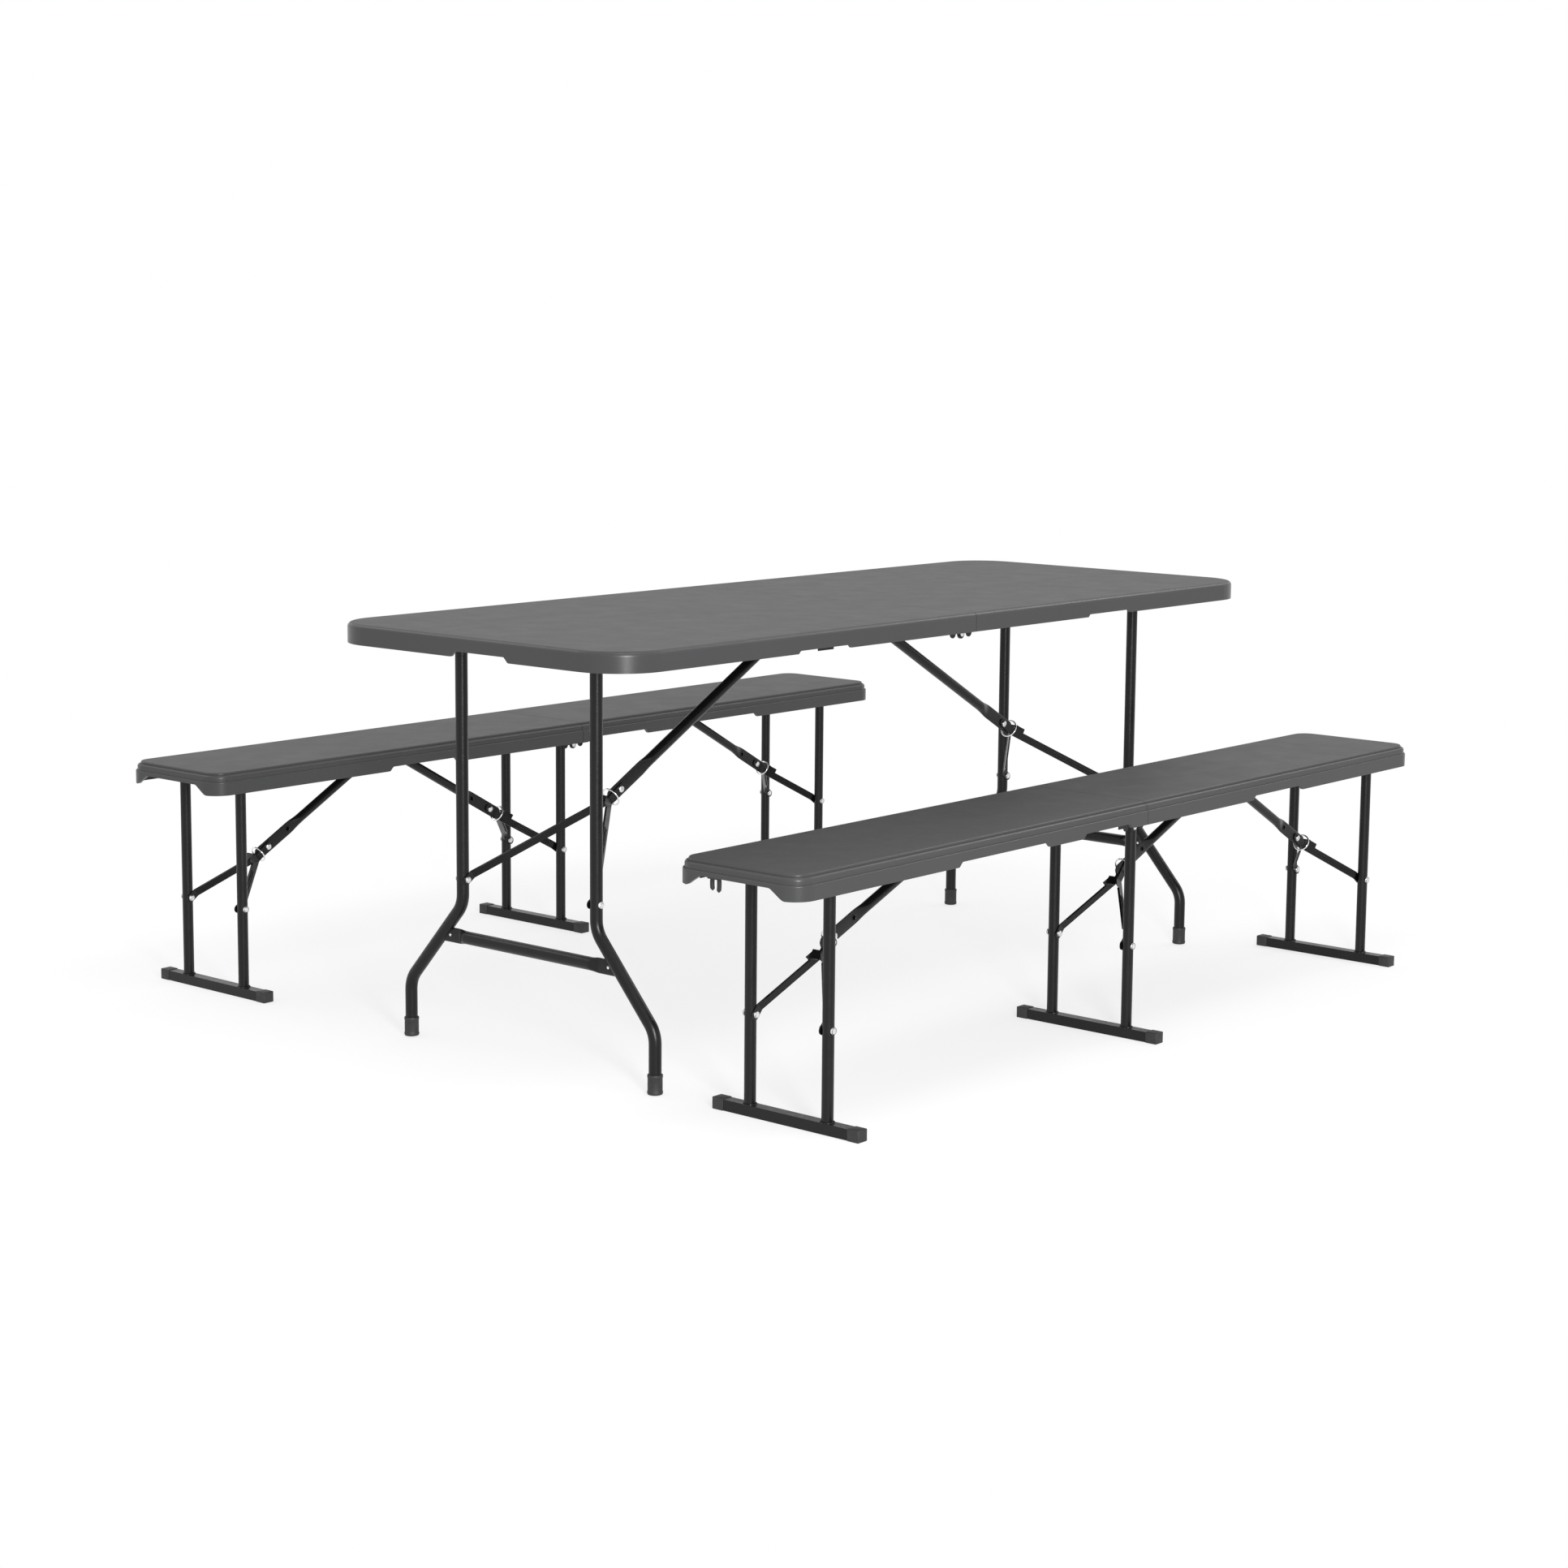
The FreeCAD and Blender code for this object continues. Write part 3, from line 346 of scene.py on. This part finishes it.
def rivets(leg, kind):
    """Domed zinc heads: outside the leg tubes, inside the brace arms and on both sides of the elbow."""
    tube, half, height = leg_sizes(kind)
    on_leg = Vector((pivot(leg).x, pivot(leg).y, height))
    outer, inner, joint = bmesh.new(), bmesh.new(), bmesh.new()
    for side in both_sides():
        rivet_head(outer, on_leg + side * (half + tube / 2 - 0.0004), side)
        rivet_head(inner, on_leg + side * (half - tube / 2 - ARM_THICK + 0.0001), -side)
        rivet_head(joint, elbow(leg) + side * (ELBOW_HALF - 0.0001), side)
    table = kind == "table"
    leg_body = leg if table else leg + "_leg"
    plain_rivets = [leg + "_rivets"] if table else []
    plain_elbow = [leg + "_elbow_rivet"] if table else []
    piece(leg + "_tube_rivet_heads", outer, "zinc", leg_body, plain_rivets)
    piece(leg + "_arm_rivet_heads", inner, "zinc", leg + "_lower")
    piece(leg + "_elbow_rivet_heads", joint, "zinc", leg + "_upper", plain_elbow)


def rounded_box(mesh, low, high, radius, segments=3):
    """A box between two corners with rounded edges."""
    made = bmesh.ops.create_cube(mesh, size=1.0)
    centre, extent = (low + high) / 2, high - low
    for vert in made["verts"]:
        vert.co = Vector((vert.co.x * extent.x, vert.co.y * extent.y, vert.co.z * extent.z)) + centre
    edges = {edge for vert in made["verts"] for edge in vert.link_edges}
    bmesh.ops.bevel(mesh, geom=list(edges), offset=radius, segments=segments, affect="EDGES", profile=0.5)


def bar_caps(leg):
    """The caps pushed over both ends of a bench's foot bar."""
    low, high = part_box(leg + "_leg")
    x = pivot(leg).x
    mesh = bmesh.new()
    for end, inward in ((low.y, 1), (high.y, -1)):
        start, stop = sorted((end - inward * CAP_END, end + inward * CAP_LENGTH))
        rounded_box(mesh, Vector((x - BAR_DEPTH / 2 - CAP_PROUD, start, -0.0006)),
                    Vector((x + BAR_DEPTH / 2 + CAP_PROUD, stop, BAR_HEIGHT + CAP_PROUD)), 0.0013)
    piece(leg + "_bar_caps", mesh, "black_cap", leg + "_leg")


def rod_between(mesh, start, end, radius, segments=12):
    """A slim bead between two points, with round ends."""
    along = end - start
    steps = 4
    profile = [(0, -radius)]
    for i in range(1, steps + 1):
        angle = math.pi / 2 * (i / steps - 1)
        profile.append((radius * math.cos(angle), radius * math.sin(angle)))
    profile += [(r, along.length - height) for r, height in reversed(profile)]
    lathe(mesh, profile, start, along.normalized(), segments)


def brace_arms(leg, kind):
    """The pressed beads that stiffen both arms of a lower brace."""
    tube, half, height = leg_sizes(kind)
    bend = elbow(leg)
    tab_face = half - tube / 2 - ARM_GAP - ARM_THICK
    foot = Vector((pivot(leg).x, pivot(leg).y, height))
    along = (foot - bend).normalized()
    lower = (foot - bend).length
    across = along.cross(Vector((0, 1, 0)))
    first, last = ARM_STRAIGHT, lower - ARM_TAB
    mesh = bmesh.new()
    for side in both_sides():
        for offset in BEAD_OFFSETS:
            ends = []
            for share in BEAD_SHARES:
                spread = FLAT_HALF + ARM_GAP + (tab_face - FLAT_HALF - ARM_GAP) * share
                out = side * (spread + ARM_THICK - BEAD_SINK)
                ends.append(bend + along * (first + (last - first) * share) + out + across * offset)
            rod_between(mesh, ends[0], ends[1], BEAD_RADIUS)
    piece(leg + "_arm_beads", mesh, "powder_coat", leg + "_lower")


def flat_holes(leg):
    """Rimmed discs on both faces of a bench brace's flat, which stand for a small hole; none is cut.

    The discs are passed to piece as powder_coat, but they show HOLE_SHADE, a painted shade for the dark
    inside of the hole.
    """
    hinge = Vector(JOINTS[leg + "_upper_brace_turn"]["pos_m"])
    spot = elbow(leg) + (hinge - elbow(leg)).normalized() * FLAT_HOLE
    rim, hole = bmesh.new(), bmesh.new()
    rim_profile = [(0.0032, 0), (0.0052, 0), (0.0049, 0.0008), (0.0040, 0.0011), (0.0034, 0.0006)]
    hole_profile = [(0, 0), (HOLE_RADIUS, 0), (HOLE_RADIUS, 0.0004), (0, 0.0004)]
    for side in both_sides():
        base = spot + side * (FLAT_HALF - 0.0003)
        lathe(rim, rim_profile, base, side)
        lathe(hole, hole_profile, base, side)
    piece(leg + "_flat_hole_rims", rim, "powder_coat", leg + "_upper")
    holes = piece(leg + "_flat_holes", hole, "powder_coat", leg + "_upper")
    # The discs show painted shade: near-black where the hole's inside would be dark.
    holes.data.materials[0] = HOLE_SHADE


def prong(mesh, top, length, bow, width, depth, segments=16, stations=9):
    """One finger of a stow clip: it hangs down, bows to one side and ends in a round tip."""
    rings = []
    for i in range(stations):
        share = i / (stations - 1)
        tip = max(0.0, (share - 0.86) / 0.14)
        narrow = math.sqrt(max(0.0, 1 - tip ** 2)) * 0.72 + 0.28
        centre = top + Vector((0, bow * math.sin(math.pi * share), -length * share))
        ring = []
        for k in range(segments):
            angle = 2 * math.pi * k / segments
            c, n = math.cos(angle), math.sin(angle)
            x = math.copysign(abs(c) ** 0.5, c) * depth / 2 * narrow
            y = math.copysign(abs(n) ** 0.5, n) * width / 2 * narrow
            ring.append(mesh.verts.new(centre + Vector((x, y, 0))))
        rings.append(ring)
    for first, second in zip(rings, rings[1:]):
        for k in range(segments):
            mesh.faces.new((first[k], first[(k + 1) % segments], second[(k + 1) % segments], second[k]))
    mesh.faces.new(rings[0])
    mesh.faces.new(rings[-1])


def stow_clip(bench):
    """The two-fingered clip under the end of a seat."""
    low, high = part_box(bench + "_clip")
    inner = 1 if bench == "bench_one" else -1
    edge = low.x if inner == 1 else high.x
    middle = Vector((edge + inner * CLIP_PRONG, (low.y + high.y) / 2, high.z - 0.001))
    mesh = bmesh.new()
    for side, length in ((-1, high.z - low.z - 0.001), (1, high.z - low.z - 0.003)):
        top = middle + Vector((0, side * CLIP_SPREAD, 0))
        prong(mesh, top, length, side * PRONG_BOW, PRONG_WIDTH, PRONG_DEPTH)
    start, stop = sorted((edge, edge + inner * CLIP_REACH))
    rounded_box(mesh, Vector((start, low.y, high.z - CLIP_PLATE)), Vector((stop, high.y, high.z)), 0.0008)
    piece(bench + "_moulded_clip", mesh, "black_cap", bench + "_half_a", [bench + "_clip"])


def crossbar_rivets(leg):
    """The small rivets near both ends of the tube between the two bent legs."""
    mesh = bmesh.new()
    x, y = pivot(leg).x, pivot(leg).y
    for end in both_sides():
        for face in (Vector((-1, 0, 0)), Vector((1, 0, 0))):
            spot = Vector((x, y, CROSSBAR_Z)) + end * CROSSBAR_RIVET + face * (CROSSBAR_FACE - 0.0006)
            rivet_head(mesh, spot, face, radius=0.0026, height=0.0016, skirt=0.0007)
    piece(leg + "_crossbar_rivets", mesh, "zinc", leg)


def foot_caps(leg):
    """Moulded caps with a lip round the mouth, a slight foot flange and a rounded sole."""
    mesh = bmesh.new()
    sole = [(0, 0), (0.0102, 0), (0.0120, 0.0006), (0.0128, 0.0020), (0.0129, 0.0048), (0.0124, 0.0062)]
    wall = [(FOOT_CAP, 0.0080), (FOOT_CAP, 0.0275), (0.0127, 0.0283), (0.0128, 0.0305), (0.0126, 0.0324)]
    rim, floor_height = CAP_HEIGHT, CAP_HEIGHT - 0.004
    mouth = [(0.0120, rim), (0.0106, rim), (0.0106, floor_height), (0, floor_height)]
    profile = sole + wall + mouth
    for side in both_sides():
        foot = Vector((pivot(leg).x, pivot(leg).y, 0)) + side * FOOT_HALF
        lathe(mesh, profile, foot, (0, 0, 1), segments=48)
    piece(leg + "_moulded_feet", mesh, "black_cap", leg, [leg + "_feet"])


def weld_bead(mesh, centre, radius, size, seed, segments=56):
    """A ring of weld about +Z round the foot of a tube, rippled as a hand-laid bead is."""
    rings = []
    for i in range(segments):
        angle = 2 * math.pi * i / segments
        out = Vector((math.cos(angle), math.sin(angle), 0))
        ripple = 1 + 0.18 * math.sin(angle * 17) + 0.35 * noise.noise(Vector((seed, out.x, out.y)))
        ring = []
        for k in range(8):
            around = 2 * math.pi * k / 8
            offset = out * (radius + size * ripple * math.cos(around))
            offset += Vector((0, 0, size * ripple * math.sin(around)))
            ring.append(mesh.verts.new(centre + offset))
        rings.append(ring)
    for i in range(segments):
        first, second = rings[i], rings[(i + 1) % segments]
        for k in range(8):
            mesh.faces.new((first[k], first[(k + 1) % 8], second[(k + 1) % 8], second[k]))


def bar_welds(leg, seed):
    """The welds that hold a bench leg's tubes to its foot bar."""
    mesh = bmesh.new()
    for side in both_sides():
        foot = pivot(leg) + side * BENCH_LEG_HALF
        weld_bead(mesh, Vector((foot.x, foot.y, BAR_HEIGHT)), BENCH_TUBE / 2, WELD_SIZE, seed + side.y)
    piece(leg + "_bar_welds", mesh, "powder_coat", leg + "_leg")


for name in TABLE_LEGS:
    rivets(name, "table")
    brace_arms(name, "table")
    crossbar_rivets(name)
    foot_caps(name)
for number, name in enumerate(BENCH_LEGS):
    rivets(name, "bench")
    brace_arms(name, "bench")
    flat_holes(name)
    bar_caps(name)
    bar_welds(name, 3.0 * number)
for name in BENCHES:
    stow_clip(name)


# ---------------------------------------------------------------- studio


def floor():
    mesh = bmesh.new()
    bmesh.ops.create_grid(mesh, x_segments=1, y_segments=1, size=30.0)
    data = bpy.data.meshes.new("floor")
    mesh.to_mesh(data)
    mesh.free()
    data.materials.append(pale_floor())
    thing = bpy.data.objects.new("floor", data)
    thing.location.z = FLOOR_Z
    bpy.context.scene.collection.objects.link(thing)


def soft_light(name, place, target, width, height, watts):
    data = bpy.data.lights.new(name, "AREA")
    data.shape = "RECTANGLE"
    data.size, data.size_y = width, height
    data.energy = watts
    light = bpy.data.objects.new(name, data)
    light.location = place
    light.rotation_euler = (Vector(target) - Vector(place)).to_track_quat("-Z", "Y").to_euler()
    bpy.context.scene.collection.objects.link(light)


def world(strength):
    made = bpy.data.worlds.new("studio")
    made.use_nodes = True
    background = made.node_tree.nodes["Background"]
    background.inputs["Color"].default_value = (1.0, 1.0, 1.0, 1.0)
    background.inputs["Strength"].default_value = strength
    bpy.context.scene.world = made


def camera(place, yaw, pitch, roll, lens, shift):
    """The camera at the photograph's viewing angle: yaw is from +X towards +Y, in degrees."""
    yaw, pitch, roll = (math.radians(angle) for angle in (yaw, pitch, roll))
    ahead = Vector((math.cos(yaw) * math.cos(pitch), math.sin(yaw) * math.cos(pitch), math.sin(pitch)))
    level = Vector((math.sin(yaw), -math.cos(yaw), 0))
    up = level.cross(ahead)
    right = level * math.cos(roll) + up * math.sin(roll)
    up = right.cross(ahead)
    data = bpy.data.cameras.new("camera")
    data.sensor_width = 36.0
    data.lens = lens
    data.shift_x, data.shift_y = shift
    data.clip_start, data.clip_end = 0.05, 200.0
    thing = bpy.data.objects.new("camera", data)
    bpy.context.scene.collection.objects.link(thing)
    thing.matrix_world = Matrix.Translation(place) @ Matrix((right, up, -ahead)).transposed().to_4x4()
    bpy.context.scene.camera = thing


floor()
world(1.0)
soft_light("key", (-2.6, -3.4, 1.3), (0, 0, 0.5), 0.6, 1.6, 135)
soft_light("overhead", (-0.9, -1.3, 3.4), (-0.2, -0.3, 0.5), 1.6, 0.5, 20)
soft_light("right", (3.6, -1.4, 3.2), (0, -0.4, 0.5), 1.2, 1.2, 22)
soft_light("far", (-1.6, 3.4, 3.8), (-0.6, -0.2, 0.5), 1.4, 1.4, 16)
camera((-4.1253, -3.5390, 1.2485), 39.5336, -7.8904, 0.6333, 67.06, (-0.0383, -0.0440))
bpy.context.scene.view_settings.view_transform = "Standard"
